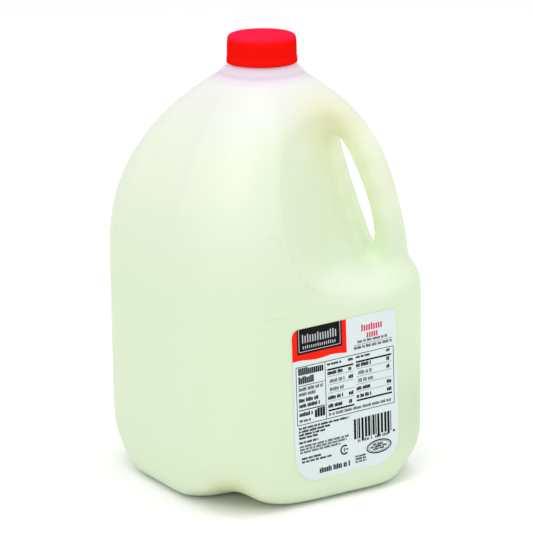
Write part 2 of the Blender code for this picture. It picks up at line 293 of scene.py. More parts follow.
# Half of the outer skin as a cage, mirrored across the handle plane and subdivided
def skinMesh(name, withNeck):
    rows = bodyRows()
    if withNeck:
        rows += neckRows()
    bm = bmesh.new()
    grid = [[bm.verts.new(point) for point in row] for row in rows]
    pole = bm.verts.new(Vector((0.0, 0.0, size["underRise"])))
    last = len(stations) - 1
    for index in range(last):
        bm.faces.new((pole, grid[0][index], grid[0][index + 1]))
    firstOpen = len(underRings) + 1 + len(heelTurns) + len(sideRows)
    lastOpen = firstOpen + len(openingRows) - 1
    for level in range(len(grid) - 1):
        for index in range(last):
            if firstOpen <= level < lastOpen and index == handleEdge:
                continue
            bm.faces.new((grid[level][index], grid[level + 1][index],
                          grid[level + 1][index + 1], grid[level][index + 1]))
    before = [[grid[k][handleEdge], grid[k][noseEdge]] for k in range(firstOpen, lastOpen + 1)]
    for depth in (0.5, 1.0):
        after = []
        for k, z in enumerate(openingRows):
            rims = grid[firstOpen + k]
            lift = 0.0
            if k == 0:
                lift = opening["footLift"]
            if k == len(openingRows) - 1:
                lift = -opening["headDrop"]
            level = z + lift * math.sin(depth * math.pi / 2.0)
            inner = tunnelPoint(rims[handleEdge].co, handleInner(z), level, depth)
            nose = tunnelPoint(rims[noseEdge].co, noseFront(z) + opening["bulge"], level, depth)
            inner.x = max(inner.x, nose.x + opening["leastGap"])
            after.append([bm.verts.new(inner), bm.verts.new(nose)])
        for k in range(len(openingRows) - 1):
            bm.faces.new((before[k][0], before[k + 1][0], after[k + 1][0], after[k][0]))
            bm.faces.new((before[k][1], after[k][1], after[k + 1][1], before[k + 1][1]))
        bm.faces.new((before[0][0], after[0][0], after[0][1], before[0][1]))
        bm.faces.new((before[-1][0], before[-1][1], after[-1][1], after[-1][0]))
        before = after
    if not withNeck:
        bm.faces.new(list(reversed(grid[-1])))
    bmesh.ops.scale(bm, vec=(size["drawnToReal"],) * 3, verts=bm.verts[:])
    return meshFrom(bm, name)


def meshFrom(bm, name, soft=True):
    mesh = bpy.data.meshes.new(name)
    bm.to_mesh(mesh)
    bm.free()
    for face in mesh.polygons:
        face.use_smooth = soft
    return mesh


def addPiece(name, mesh, look):
    piece = bpy.data.objects.new(name, mesh)
    bpy.context.scene.collection.objects.link(piece)
    if look is not None:
        mesh.materials.append(look)
    return piece


def mirrorAndSmooth(piece, levels):
    mirror = piece.modifiers.new("Mirror", "MIRROR")
    mirror.use_axis = (False, True, False)
    mirror.merge_threshold = 0.00005
    rounder = piece.modifiers.new("Smooth", "SUBSURF")
    rounder.levels = levels
    rounder.render_levels = levels


# Node helpers
def newMaterial(name):
    look = bpy.data.materials.new(name)
    look.use_nodes = True
    tree = look.node_tree
    for node in list(tree.nodes):
        tree.nodes.remove(node)
    output = tree.nodes.new("ShaderNodeOutputMaterial")
    return look, tree, output


def addNode(tree, kind, **values):
    node = tree.nodes.new(kind)
    for key, value in values.items():
        socket = node.inputs.get(key.replace("_", " "))
        if socket is not None:
            socket.default_value = value
        else:
            setattr(node, key, value)
    return node


def noiseBump(tree, scale, distance, strength):
    place = addNode(tree, "ShaderNodeTexCoord")
    noise = addNode(tree, "ShaderNodeTexNoise", Scale=scale, Detail=3.0, Roughness=0.55)
    tree.links.new(place.outputs["Object"], noise.inputs["Vector"])
    bump = addNode(tree, "ShaderNodeBump", Strength=strength, Distance=distance)
    tree.links.new(noise.outputs["Fac"], bump.inputs["Height"])
    return noise, bump


# Polyethylene skin: milky and lightly see-through, lilac where no milk stands behind it
plastic = {
    "body": (0.705, 0.828, 0.598, 1.0),
    # The shoulder and crown tones are paler than the body as painted light from above; the neck tone
    # is lilac where no milk stands behind it, its pink cast partly a painted reflection of the red
    # cap
    "shoulder": (0.782, 0.842, 0.690, 1.0),
    "crown": (0.79, 0.81, 0.765, 1.0),
    "neck": (0.97, 0.885, 0.998, 1.0),
    # The olive, shade, deep and leaf tones are painted shade and the pale tone is painted light, for
    # the spots further down
    "oliveShade": (0.76, 0.75, 0.39, 1.0),
    "shade": (0.60, 0.705, 0.51, 1.0),
    "deep": (0.36, 0.45, 0.17, 1.0),
    "leafShade": (0.62, 0.76, 0.46, 1.0),
    "pale": (0.79, 0.86, 0.745, 1.0),
    "roughness": 0.38,
    "shine": 0.40,
    "coverMilk": 0.90,
    "coverNeck": 0.45,
    "level": 0.2350,
    "levelBlend": 0.004,
    "clearTint": (0.97, 0.98, 0.96, 1.0),
    "glowShare": 0.35,
    "glowCore": 0.25,
}
# Centre, reach and strength of the painted glow at the neck and the opening: the skin emits its tint
# there in place of light that comes through
paintedGlowSpots = [((0.0, 0.0, 0.241), 0.030, 0.12),
             ((0.061, 0.0, 0.146), 0.026, 0.175),
             ((0.059, 0.0, 0.162), 0.026, 0.19),
             ((0.054, 0.0, 0.178), 0.026, 0.21),
             ((0.049, 0.0, 0.193), 0.025, 0.23)]
# Heights where the tint changes, paler upwards as painted light from above, and places where painted
# shade and painted light shift it
tintStops = [(0.110, "body"), (0.200, "shoulder"), (0.2320, "crown"), (0.2345, "crown"),
             (0.2385, "neck")]
# Painted shade in the recess beside the handle and around the finger opening, where less light
# reaches: olive at its top and the handle's inner side, leaf over the recess floor and the opening's
# foot
tintSpots = [((0.046, 0.022, 0.214), 0.034, 0.80, "oliveShade"),
             ((0.060, 0.020, 0.178), 0.044, 0.35, "oliveShade"),
             ((0.044, 0.046, 0.185), 0.056, 0.55, "leafShade"),
             ((0.046, 0.044, 0.150), 0.034, 0.35, "leafShade"),
             ((0.074, 0.006, 0.146), 0.022, 0.40, "leafShade"),
             # Painted shade on the corner beside the label's right edge, where the side turns away
             # from the light
             ((0.092, 0.0, 0.045), 0.048, 0.85, "shade"),
             # Painted shade in the notch at the foot of each side corner
             ((0.0, 0.083, 0.004), 0.032, 0.55, "oliveShade"),
             ((0.0, 0.081, 0.005), 0.021, 1.0, "deep"),
             # Painted light on the ledge under the handle, which faces up to the light
             ((0.062, 0.044, 0.1265), 0.019, 0.8, "pale"),
             ((0.074, 0.030, 0.1265), 0.018, 0.8, "pale"),
             ((0.050, 0.056, 0.1275), 0.014, 0.5, "pale")]


def tintByHeight(tree, heightSocket):
    low = tintStops[0][0]
    high = tintStops[-1][0]
    height = addNode(tree, "ShaderNodeMapRange")
    height.inputs["From Min"].default_value = low * size["drawnToReal"]
    height.inputs["From Max"].default_value = high * size["drawnToReal"]
    tree.links.new(heightSocket, height.inputs["Value"])
    ramp = addNode(tree, "ShaderNodeValToRGB")
    ramp.color_ramp.interpolation = "EASE"
    for index, (z, tone) in enumerate(tintStops):
        place = (z - low) / (high - low)
        if 0 < index < len(tintStops) - 1:
            stop = ramp.color_ramp.elements.new(place)
        else:
            stop = ramp.color_ramp.elements[0 if index == 0 else -1]
            stop.position = place
        stop.color = plastic[tone]
    tree.links.new(height.outputs["Result"], ramp.inputs["Fac"])
    return ramp.outputs["Color"]


# A value that grows from nothing at the reach to the share at the core of a spot
def nearSpot(tree, position, centre, reach, core, share):
    far = addNode(tree, "ShaderNodeVectorMath", operation="DISTANCE")
    far.inputs[1].default_value = [value * size["drawnToReal"] for value in centre]
    tree.links.new(position, far.inputs[0])
    near = addNode(tree, "ShaderNodeMapRange")
    near.interpolation_type = "SMOOTHSTEP"
    near.inputs["From Min"].default_value = reach
    near.inputs["From Max"].default_value = reach * core
    near.inputs["To Max"].default_value = share
    tree.links.new(far.outputs["Value"], near.inputs["Value"])
    return near.outputs["Result"]


# Patches of painted shade and painted light, the same on both sides of the handle plane
def addSpots(tree, split, tint):
    mirror = addNode(tree, "ShaderNodeMath", operation="ABSOLUTE")
    tree.links.new(split.outputs["Y"], mirror.inputs[0])
    folded = addNode(tree, "ShaderNodeCombineXYZ")
    tree.links.new(split.outputs["X"], folded.inputs["X"])
    tree.links.new(mirror.outputs["Value"], folded.inputs["Y"])
    tree.links.new(split.outputs["Z"], folded.inputs["Z"])
    for centre, reach, share, tone in tintSpots:
        near = nearSpot(tree, folded.outputs["Vector"], centre, reach, 0.0, share)
        blend = addNode(tree, "ShaderNodeMixRGB")
        blend.inputs[2].default_value = plastic[tone]
        tree.links.new(near, blend.inputs["Fac"])
        tree.links.new(tint, blend.inputs[1])
        tint = blend.outputs["Color"]
    return tint


# Strength of the painted glow, in place of light that shines through, from the strongest of the glow
# spots
def paintedGlow(tree, position):
    total = None
    for centre, reach, share in paintedGlowSpots:
        near = nearSpot(tree, position, centre, reach, plastic["glowCore"], share)
        if total is None:
            total = near
        else:
            largest = addNode(tree, "ShaderNodeMath", operation="MAXIMUM")
            tree.links.new(total, largest.inputs[0])
            tree.links.new(near, largest.inputs[1])
            total = largest.outputs["Value"]
    return total


def plasticLook():
    look, tree, output = newMaterial("jugPlastic")
    place = addNode(tree, "ShaderNodeTexCoord")
    split = addNode(tree, "ShaderNodeSeparateXYZ")
    tree.links.new(place.outputs["Object"], split.inputs["Vector"])
    tint = tintByHeight(tree, split.outputs["Z"])
    tint = addSpots(tree, split, tint)
    noise, bump = noiseBump(tree, 60.0, 0.0004, 0.10)
    skin = addNode(tree, "ShaderNodeBsdfPrincipled", Roughness=plastic["roughness"], IOR=1.5)
    skin.inputs["Specular IOR Level"].default_value = plastic["shine"]
    tree.links.new(tint, skin.inputs["Base Color"])
    tree.links.new(bump.outputs["Normal"], skin.inputs["Normal"])
    # Painted glow: the skin emits its own tint near the neck and the opening
    tree.links.new(tint, skin.inputs["Emission Color"])
    tree.links.new(paintedGlow(tree, place.outputs["Object"]), skin.inputs["Emission Strength"])
    glow = addNode(tree, "ShaderNodeBsdfTranslucent")
    tree.links.new(tint, glow.inputs["Color"])
    clear = addNode(tree, "ShaderNodeBsdfTransparent")
    clear.inputs["Color"].default_value = plastic["clearTint"]
    through = addNode(tree, "ShaderNodeMixShader", Fac=plastic["glowShare"])
    tree.links.new(glow.outputs["BSDF"], through.inputs[2])
    tree.links.new(clear.outputs["BSDF"], through.inputs[1])
    cover = addNode(tree, "ShaderNodeMapRange")
    low = plastic["level"]
    cover.inputs["From Min"].default_value = low * size["drawnToReal"]
    cover.inputs["From Max"].default_value = (low + plastic["levelBlend"]) * size["drawnToReal"]
    cover.inputs["To Min"].default_value = plastic["coverMilk"]
    cover.inputs["To Max"].default_value = plastic["coverNeck"]
    tree.links.new(split.outputs["Z"], cover.inputs["Value"])
    mix = addNode(tree, "ShaderNodeMixShader")
    tree.links.new(cover.outputs["Result"], mix.inputs[0])
    tree.links.new(through.outputs["Shader"], mix.inputs[1])
    tree.links.new(skin.outputs["BSDF"], mix.inputs[2])
    tree.links.new(mix.outputs["Shader"], output.inputs["Surface"])
    return look


milkTint = {"colour": (0.84, 0.88, 0.78, 1.0), "roughness": 0.4, "scatter": 0.3,
            "scatterColour": (1.0, 0.9, 0.6), "scatterDepth": 0.012}


def milkLook():
    look, tree, output = newMaterial("milkBody")
    skin = addNode(tree, "ShaderNodeBsdfPrincipled", Roughness=milkTint["roughness"])
    skin.inputs["Base Color"].default_value = milkTint["colour"]
    skin.inputs["Subsurface Weight"].default_value = milkTint["scatter"]
    skin.inputs["Subsurface Radius"].default_value = milkTint["scatterColour"]
    skin.inputs["Subsurface Scale"].default_value = milkTint["scatterDepth"]
    noise, bump = noiseBump(tree, 30.0, 0.0003, 0.05)
    tree.links.new(bump.outputs["Normal"], skin.inputs["Normal"])
    tree.links.new(skin.outputs["BSDF"], output.inputs["Surface"])
    return look


# An even, dull finish with a faint grain: used for the mould lines, the paper and the inks
def plainLook(name, colour, roughness, grain, depth, strength, shine=0.5):
    look, tree, output = newMaterial(name)
    skin = addNode(tree, "ShaderNodeBsdfPrincipled", Roughness=roughness)
    skin.inputs["Specular IOR Level"].default_value = shine
    noise, bump = noiseBump(tree, grain, depth, strength)
    vary = addNode(tree, "ShaderNodeMixRGB", Fac=0.5)
    vary.inputs[1].default_value = (*colour, 1.0)
    vary.inputs[2].default_value = (*[min(1.0, c * 1.03) for c in colour], 1.0)
    tree.links.new(noise.outputs["Fac"], vary.inputs["Fac"])
    tree.links.new(vary.outputs["Color"], skin.inputs["Base Color"])
    tree.links.new(bump.outputs["Normal"], skin.inputs["Normal"])
    tree.links.new(skin.outputs["BSDF"], output.inputs["Surface"])
    return look


# Jug and milk
milkSize = {"level": 0.2365, "intoWall": 0.0006}


def buildJug():
    jug = addPiece("jugSkin", skinMesh("jugSkin", True), plasticLook())
    mirrorAndSmooth(jug, 2)
    shell = jug.modifiers.new("Wall", "SOLIDIFY")
    shell.thickness = size["wall"]
    shell.offset = -1.0
    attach(jug, "root")
    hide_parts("jug")
    return jug


# The milk follows the skin from inside and is cut off flat at its level
def buildMilk():
    level = milkSize["level"] * size["drawnToReal"]
    milk = addPiece("milkBody", skinMesh("milkBody", False), milkLook())
    mirrorAndSmooth(milk, 2)
    shrink = milk.modifiers.new("Into the wall", "DISPLACE")
    shrink.strength = -milkSize["intoWall"]
    shrink.mid_level = 0.0
    graph = bpy.context.evaluated_depsgraph_get()
    bm = bmesh.new()
    bm.from_mesh(milk.evaluated_get(graph).to_mesh())
    cut = bmesh.ops.bisect_plane(bm, geom=bm.verts[:] + bm.edges[:] + bm.faces[:],
                                 plane_co=(0, 0, level), plane_no=(0, 0, 1), clear_outer=True)
    rim = [item for item in cut["geom_cut"] if isinstance(item, bmesh.types.BMEdge)]
    bmesh.ops.contextual_create(bm, geom=rim)
    milk.modifiers.clear()
    bm.to_mesh(milk.data)
    bm.free()
    for face in milk.data.polygons:
        face.use_smooth = len(face.vertices) < 6  # the flat top stays flat
    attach(milk, "root")
    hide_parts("milk")


jugSkin = buildJug()
buildMilk()
print("stage: jug and milk")


# Raised mould lines that stand a little out of the skin
bead = {"seamR": 0.00026, "outlineR": 0.00024, "innerShare": 0.8, "panelR": 0.00020,
        "gap": 0.0026, "middle": (40.0, 0.172), "perDegree": 0.00135, "sink": 0.35, "sides": 10,
        "taperStart": 0.15, "taperSteps": 6.0, "frontZ": (0.020, 0.236), "backZ": (0.024, 0.236)}
graph = bpy.context.evaluated_depsgraph_get()
surface = BVHTree.FromObject(jugSkin, graph)


# A thin round bead that follows points found on the skin
def beadOn(name, path, radius, look, wide=1.0):
    sides = bead["sides"]
    found = []
    for point in path:
        spot, normal, face, gap = surface.find_nearest(point)
        found.append((spot - normal * radius * bead["sink"], normal))
    bm = bmesh.new()
    rings = []
    for index, (spot, normal) in enumerate(found):
        ahead = found[min(index + 1, len(found) - 1)][0]
        behind = found[max(index - 1, 0)][0]
        along = (ahead - behind).normalized()
        across = along.cross(normal).normalized()
        up = across.cross(along)
        fromEnd = min(index, len(found) - 1 - index)
        taper = min(1.0, bead["taperStart"] + fromEnd / bead["taperSteps"])
        ring = []
        for step in range(sides):
            turn = 2.0 * math.pi * step / sides
            offset = across * math.cos(turn) * wide + up * math.sin(turn)
            ring.append(bm.verts.new(spot + offset * radius * taper))
        rings.append(ring)
    for first, second in zip(rings, rings[1:]):
        for step in range(sides):
            after = (step + 1) % sides
            bm.faces.new((first[step], second[step], second[after], first[after]))
    bm.faces.new(rings[0])
    bm.faces.new(list(reversed(rings[-1])))
    bmesh.ops.recalc_face_normals(bm, faces=bm.faces[:])
    piece = addPiece(name, meshFrom(bm, name), look)
    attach(piece, "root")


def seamHeights(ends, count):
    low, high = ends
    return [low + (high - low) * step / (count - 1) for step in range(count)]


def seamPaths():
    real = size["drawnToReal"]
    front = [Vector((handleOuter(z), 0.0, z)) * real for z in seamHeights(bead["frontZ"], 120)]
    back = [plainPoint(180.0, z) * real for z in seamHeights(bead["backZ"], 100)]
    return front, back


# Where the recess outline, the label panel's edge and a short flow line run: angle, height
outlineTrack = [(58.0, 0.2182), (61.0, 0.2166), (63.6, 0.2140), (66.4, 0.2068), (68.2, 0.1968),
                (68.9, 0.1838), (68.8, 0.1755), (68.2, 0.1669), (67.2, 0.1579), (65.2, 0.1483),
                (62.8, 0.1409), (59.8, 0.1338), (56.4, 0.1285), (52.0, 0.1249), (47.0, 0.1226),
                (42.4, 0.1217), (38.0, 0.1216), (34.0, 0.1219)]
panelTrack = [(77.5, 0.1155), (75.0, 0.1156), (72.0, 0.1156), (66.0, 0.1155)]
curlTrack = [(75.8, 0.1626), (73.9, 0.1619), (71.6, 0.1601), (69.4, 0.1571)]


# The same track moved towards the middle of the recess
def insideTrack(track):
    moved = []
    for angle, z in track:
        across = (bead["middle"][0] - angle) * bead["perDegree"]
        up = bead["middle"][1] - z
        share = bead["gap"] / math.hypot(across, up)
        moved.append((angle + across * share / bead["perDegree"], z + up * share))
    return moved


# Points along a track, eased through its stations
def smoothTrack(track, side, count):
    last = len(track) - 1
    points = []
    for step in range(count):
        place = step * last / (count - 1)
        index = min(last - 1, int(place))
        t = place - index
        ends = [track[max(0, min(last, index + shift))] for shift in (-1, 0, 1, 2)]
        values = []
        for axis in (0, 1):
            a, b, c, d = [end[axis] for end in ends]
            values.append(b + 0.5 * t * (c - a + t * (2 * a - 5 * b + 4 * c - d
                                                      + t * (3 * (b - c) + d - a))))
        point = plainPoint(values[0], values[1]) * size["drawnToReal"]
        points.append(Vector((point.x, point.y * side, point.z)))
    return points


# The mould lines are darker than the skin: the outer recess line as painted shade along the recess
# edge, the inner one paler as its lit side; the panel tone, for the label panel's edge and the flow
# line, as painted shade along these lines
lineTone = {"Seam": (0.69, 0.79, 0.57), "Outer": (0.655, 0.745, 0.485),
            "Inner": (0.67, 0.78, 0.54), "Panel": (0.61, 0.71, 0.45)}
lineLook = {}
for line, tone in lineTone.items():
    lineLook[line] = plainLook("mould" + line, tone, 0.4, 60.0, 0.0002, 0.1)
handleSeam, backSeam = seamPaths()
beadOn("handleSeam", handleSeam, bead["seamR"], lineLook["Seam"])
beadOn("backSeam", backSeam, bead["seamR"], lineLook["Seam"])
for side, word in ((1.0, "Front"), (-1.0, "Back")):
    beadOn("recessLine" + word, smoothTrack(outlineTrack, side, 140), bead["outlineR"],
           lineLook["Outer"], wide=1.6)
    beadOn("recessInner" + word, smoothTrack(insideTrack(outlineTrack), side, 140),
           bead["outlineR"] * bead["innerShare"], lineLook["Inner"], wide=1.4)
    beadOn("panelLine" + word, smoothTrack(panelTrack, side, 30), bead["panelR"],
           lineLook["Panel"])
    beadOn("curlLine" + word, smoothTrack(curlTrack, side, 24), bead["panelR"],
           lineLook["Panel"])
print("stage: mould lines")


# Cap: ribbed skirt, tamper band under a groove, soft top edge
cap = {
    "topZ": 0.2610, "rimZ": 0.2449, "topR": 0.0194, "skirtR": 0.0201, "bandR": 0.0205,
    "bandTall": 0.0042, "edgeOut": 0.0004, "ringR": 0.0150, "dishR": 0.0146, "poleR": 0.0020,
    "wall": 0.0012, "gap": 0.0004, "edgeR": 0.0025, "ribs": 90, "ribDepth": 0.00036,
    "pointsPerRib": 4, "tintTall": 0.003,
    "colour": (0.85, 0.007, 0.004), "topSheenColour": (0.80, 0.015, 0.055), "roughness": 0.5,
    "shine": 0.0,
}


# Radius, height and whether ribs cut in, from the rim up over the edge to the middle.
# The small steps are the roundings of the band, the groove above it and the rib ends.
def capProfile():
    rim = cap["rimZ"]
    bandR = cap["bandR"]
    skirtR = cap["skirtR"]
    bandTop = rim + cap["bandTall"]
    shoulder = cap["topZ"] - cap["edgeR"]
    edge = cap["topR"] + cap["edgeOut"]
    points = [(bandR - 0.0003, rim, 0), (bandR, rim + 0.0004, 0),
              (bandR - 0.0002, bandTop - 0.0007, 0), (bandR - 0.0005, bandTop - 0.0003, 0),
              (skirtR - 0.0002, bandTop - 0.0001, 0), (skirtR - 0.0002, bandTop + 0.0003, 0),
              (skirtR, bandTop + 0.0006, 1), (skirtR - 0.00005, shoulder - 0.0030, 1),
              (edge + 0.0001, shoulder - 0.0016, 0), (edge, shoulder, 0)]
    for turn in (15, 30, 45, 60, 75, 90):
        angle = math.radians(turn)
        points.append((edge - cap["edgeR"] * (1.0 - math.cos(angle)),
                       shoulder + cap["edgeR"] * math.sin(angle), 0))
    points += [(cap["ringR"], cap["topZ"] - 0.00004, 0), (cap["dishR"], cap["topZ"] - 0.00018, 0),
               (cap["poleR"], cap["topZ"] - 0.00022, 0)]
    return points


def buildCap():
    count = cap["ribs"] * cap["pointsPerRib"]
    inner = neck["radius"] + cap["gap"]
    ceiling = cap["topZ"] - cap["wall"]
    outside = capProfile()
    under = [(cap["poleR"], ceiling, 0), (inner - 0.001, ceiling, 0),
             (inner, ceiling - 0.0008, 0), (inner, cap["rimZ"] + 0.0030, 0),
             (cap["bandR"] - cap["wall"], cap["rimZ"], 0)]
    profile = outside + under
    bm = bmesh.new()
    rings = []
    for radius, z, ribbed in profile:
        ring = []
        for step in range(count):
            turn = 2.0 * math.pi * step / count
            cut = 0.5 - 0.5 * math.cos(2.0 * math.pi * step / cap["pointsPerRib"])
            reach = (radius - cap["ribDepth"] * cut * ribbed) * size["drawnToReal"]
            ring.append(bm.verts.new(Vector((reach * math.cos(turn), reach * math.sin(turn),
                                             z * size["drawnToReal"]))))
        rings.append(ring)
    top = len(outside) - 1
    rings.append(rings[0])
    for place in range(len(rings) - 1):
        if place == top:
            continue
        for step in range(count):
            after = (step + 1) % count
            bm.faces.new((rings[place][step], rings[place][after],
                          rings[place + 1][after], rings[place + 1][step]))
    bm.faces.new(rings[top])
    bm.faces.new(list(reversed(rings[top + 1])))
    bmesh.ops.recalc_face_normals(bm, faces=bm.faces[:])
    piece = addPiece("capShell", meshFrom(bm, "capShell"), capLook())
    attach(piece, "root")
    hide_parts("cap")


# Red plastic, a little pinker towards the top: a painted sheen on the top face, which has no
# highlight of its own
def capLook():
    look, tree, output = newMaterial("capRed")
    skin = addNode(tree, "ShaderNodeBsdfPrincipled", Roughness=cap["roughness"])
    skin.inputs["Specular IOR Level"].default_value = cap["shine"]
    place = addNode(tree, "ShaderNodeTexCoord")
    split = addNode(tree, "ShaderNodeSeparateXYZ")
    tree.links.new(place.outputs["Object"], split.inputs["Vector"])
    height = addNode(tree, "ShaderNodeMapRange")
    real = size["drawnToReal"]
    height.inputs["From Min"].default_value = (cap["topZ"] - cap["tintTall"]) * real
    height.inputs["From Max"].default_value = cap["topZ"] * real
    tree.links.new(split.outputs["Z"], height.inputs["Value"])
    blend = addNode(tree, "ShaderNodeMixRGB")
    blend.inputs[1].default_value = (*cap["colour"], 1.0)
    blend.inputs[2].default_value = (*cap["topSheenColour"], 1.0)
    tree.links.new(height.outputs["Result"], blend.inputs["Fac"])
    tree.links.new(blend.outputs["Color"], skin.inputs["Base Color"])
    noise, bump = noiseBump(tree, 180.0, 0.0001, 0.12)
    tree.links.new(bump.outputs["Normal"], skin.inputs["Normal"])
    tree.links.new(skin.outputs["BSDF"], output.inputs["Surface"])
    return look


buildCap()
print("stage: cap")


# Label: sheet on the side face, with its print as flat shapes just above the paper
label = {
    "width": 0.0711, "height": 0.0920, "shift": 0.0068, "lowZ": 0.0162, "turn": 1.6,
    "topCorner": 0.0045, "footCorner": 0.0155, "arcSteps": 12,
    "lift": 0.00008, "sheet": 0.00016, "ink": 0.00003,
    "paper": (0.655, 0.735, 0.735), "black": (0.006, 0.007, 0.008), "red": (0.86, 0.014, 0.004),
    "magenta": (0.66, 0.015, 0.09), "grey": (0.05, 0.06, 0.065), "pale": (0.50, 0.53, 0.54),
}


# A point on the label: across 0 to 1 from the left, down 0 to 1 from the top
def labelPoint(across, down, lift):
    real = size["drawnToReal"]
    turn = math.radians(label["turn"])
    offX = label["width"] * (across - 0.5)
    offZ = label["height"] * (0.5 - down)
    side = (label["shift"] + offX * math.cos(turn) - offZ * math.sin(turn)) * real
    up = (label["lowZ"] + label["height"] / 2.0 + offX * math.sin(turn)
          + offZ * math.cos(turn)) * real
    face = size["sideHalf"] * real + lift
    root = math.sqrt(0.5)
    return Vector((root * (face + side), root * (side - face), up))


def quarterTurn(start):
    steps = label["arcSteps"]
    return [math.radians(start + 90.0 * step / steps) for step in range(steps + 1)]


def labelOutline():
    wide = label["width"]
    tall = label["height"]
    corners = [(0.0, 1.0, label["footCorner"], 180.0), (1.0, 1.0, label["footCorner"], 270.0),
               (1.0, 0.0, label["topCorner"], 0.0), (0.0, 0.0, label["topCorner"], 90.0)]
    points = []
    for across, down, bend, start in corners:
        centreX = bend if across == 0.0 else wide - bend
        centreY = tall - bend if down == 1.0 else bend
        for angle in quarterTurn(start):
            points.append(((centreX + bend * math.cos(angle)) / wide,
                           (centreY - bend * math.sin(angle)) / tall))
    return points


def buildPaper():
    bm = bmesh.new()
    sheets = []
    for lift in (label["lift"], label["lift"] + label["sheet"]):
        sheets.append([bm.verts.new(labelPoint(x, y, lift)) for x, y in labelOutline()])
    bm.faces.new(list(reversed(sheets[0])))
    bm.faces.new(sheets[1])
    count = len(sheets[0])
    for step in range(count):
        after = (step + 1) % count
        bm.faces.new((sheets[0][step], sheets[0][after], sheets[1][after], sheets[1][step]))
    bmesh.ops.recalc_face_normals(bm, faces=bm.faces[:])
    paper = plainLook("labelPaper", label["paper"], 0.5, 90.0, 0.0001, 0.1, 0.3)
    piece = addPiece("labelPaper", meshFrom(bm, "labelPaper", False), paper)
    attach(piece, "root")
    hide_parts("label")


# Flat shapes of each ink, and how many ink films above the paper it lies.
# Places and sizes of the print are shares of the label's width and height.
inkShapes = {"black": [], "red": [], "magenta": [], "grey": [], "pale": []}
inkLayer = {"red": 1, "black": 2, "magenta": 2, "grey": 2, "pale": 3}
ringSteps = 40
markHeights = (0.36, 0.36, 0.5, 0.5)
markFoot = 0.36
wordGap = 0.8


def inkBox(ink, left, top, right, low):
    inkShapes[ink].append([(left, low), (right, low), (right, top), (left, top)])


def inkRing(ink, x, y, radiusX, radiusY, thick, start=0.0, sweep=360.0):
    for step in range(ringSteps):
        quad = []
        for turn, grow in ((step, 0.0), (step + 1, 0.0), (step + 1, 1.0), (step, 1.0)):
            angle = math.radians(start + sweep * turn / ringSteps)
            quad.append((x + (radiusX - thick * grow) * math.cos(angle),
                         y - (radiusY - thick * grow * label["width"] / label["height"])
                         * math.sin(angle)))
        inkShapes[ink].append(quad)


# A line of plain marks in groups: whole is the number of marks in a group, 0 for any number
def inkWords(rng, ink, left, right, middle, tall, letter, fill, whole=0):
    x = left
    while x < right - letter:
        count = whole if whole else rng.randint(2, 7)
        for mark in range(count):
            if x + letter > right:
                break
            high = tall * rng.choice(markHeights)
            inkBox(ink, x, middle - high, x + letter * fill, middle + tall * markFoot)
            x += letter
        x += letter * wordGap


# Rows of five values are bars, longer ones are lines of marks
def inkRows(rng, rows):
    for row in rows:
        if len(row) == 5:
            inkBox(*row)
        else:
            inkWords(rng, *row)


table = {"left": 0.030, "right": 0.965, "top": 0.242, "low": 0.616, "divide": 0.305,
         "line": 0.0026, "rows": 5, "bar": 0.0055}
# A bar: ink, left, top, right, low. A line of marks: ink, left, right, middle, height,
# width of a mark, inked share of it, and the marks in a group where that is fixed.
firstColumn = [("black", 0.050, 0.292, 0.276, 0.054, 0.0185, 0.82, 13),
               ("black", 0.050, 0.205, 0.332, 0.054, 0.0185, 0.82, 13),
               ("black", 0.045, 0.362, 0.295, 0.366),
               ("grey", 0.050, 0.292, 0.388, 0.026, 0.0125, 0.70),
               ("grey", 0.050, 0.225, 0.420, 0.026, 0.0125, 0.70),
               ("black", 0.050, 0.235, 0.460, 0.028, 0.0135, 0.84),
               ("black", 0.050, 0.260, 0.495, 0.028, 0.0135, 0.84),
               ("black", 0.045, 0.519, 0.295, 0.525),
               ("black", 0.050, 0.190, 0.551, 0.030, 0.0145, 0.84),
               ("black", 0.196, 0.298, 0.563, 0.068, 0.025, 0.84, 9),
               ("black", 0.050, 0.165, 0.592, 0.018, 0.010, 0.80)]
# Left, right, head line, upper bar and lower bar of the two columns beside it
otherColumns = [(0.325, 0.575, 0.266, 0.300, 0.566), (0.600, 0.945, 0.262, 0.293, 0.545)]
tableFoot = ("grey", 0.330, 0.945, 0.592, 0.022, 0.012, 0.70)
plateRows = [("black", 0.048, 0.0002, 0.472, 0.163),
             ("pale", 0.062, 0.0002, 0.0675, 0.149),
             ("pale", 0.4515, 0.0002, 0.457, 0.149),
             ("pale", 0.062, 0.1450, 0.457, 0.149),
             ("pale", 0.095, 0.435, 0.070, 0.064, 0.0240, 0.44, 30),
             ("pale", 0.100, 0.425, 0.121, 0.026, 0.0200, 0.42, 30),
             ("magenta", 0.660, 0.870, 0.084, 0.052, 0.0230, 0.62, 20),
             ("magenta", 0.710, 0.830, 0.136, 0.040, 0.0230, 0.62, 20),
             ("grey", 0.620, 0.915, 0.166, 0.020, 0.012, 0.74),
             ("grey", 0.585, 0.183, 0.955, 0.1855),
             ("grey", 0.585, 0.955, 0.203, 0.022, 0.012, 0.74)]
# Middle and right end of the lines below the table
darkLines = [(0.640, 0.52), (0.661, 0.34), (0.682, 0.30), (0.703, 0.22), (0.733, 0.23)]
greyLines = [(0.760, 0.52), (0.779, 0.50), (0.798, 0.44)]
lastLines = [(0.840, 0.25), (0.862, 0.35)]
stripes = {"left": 0.565, "lastStart": 0.925, "right": 0.930, "top": 0.664, "low": 0.796,
           "longLow": 0.812, "longShare": 0.12, "wide": (0.007, 0.011, 0.016, 0.021),
           "apart": (0.007, 0.009, 0.013)}
stripeRows = [("black", 0.600, 0.745, 0.813, 0.022, 0.0150, 0.60),
              ("black", 0.770, 0.915, 0.813, 0.022, 0.0150, 0.60),
              ("black", 0.945, 0.970, 0.800, 0.020, 0.0120, 0.80)]
redField = {"right": 0.515, "low": 0.204, "drop": 0.008, "wave": 0.005, "waves": 1.6, "shift": 0.55,
            "steps": 24}
oval = {"x": 0.805, "y": 0.880}


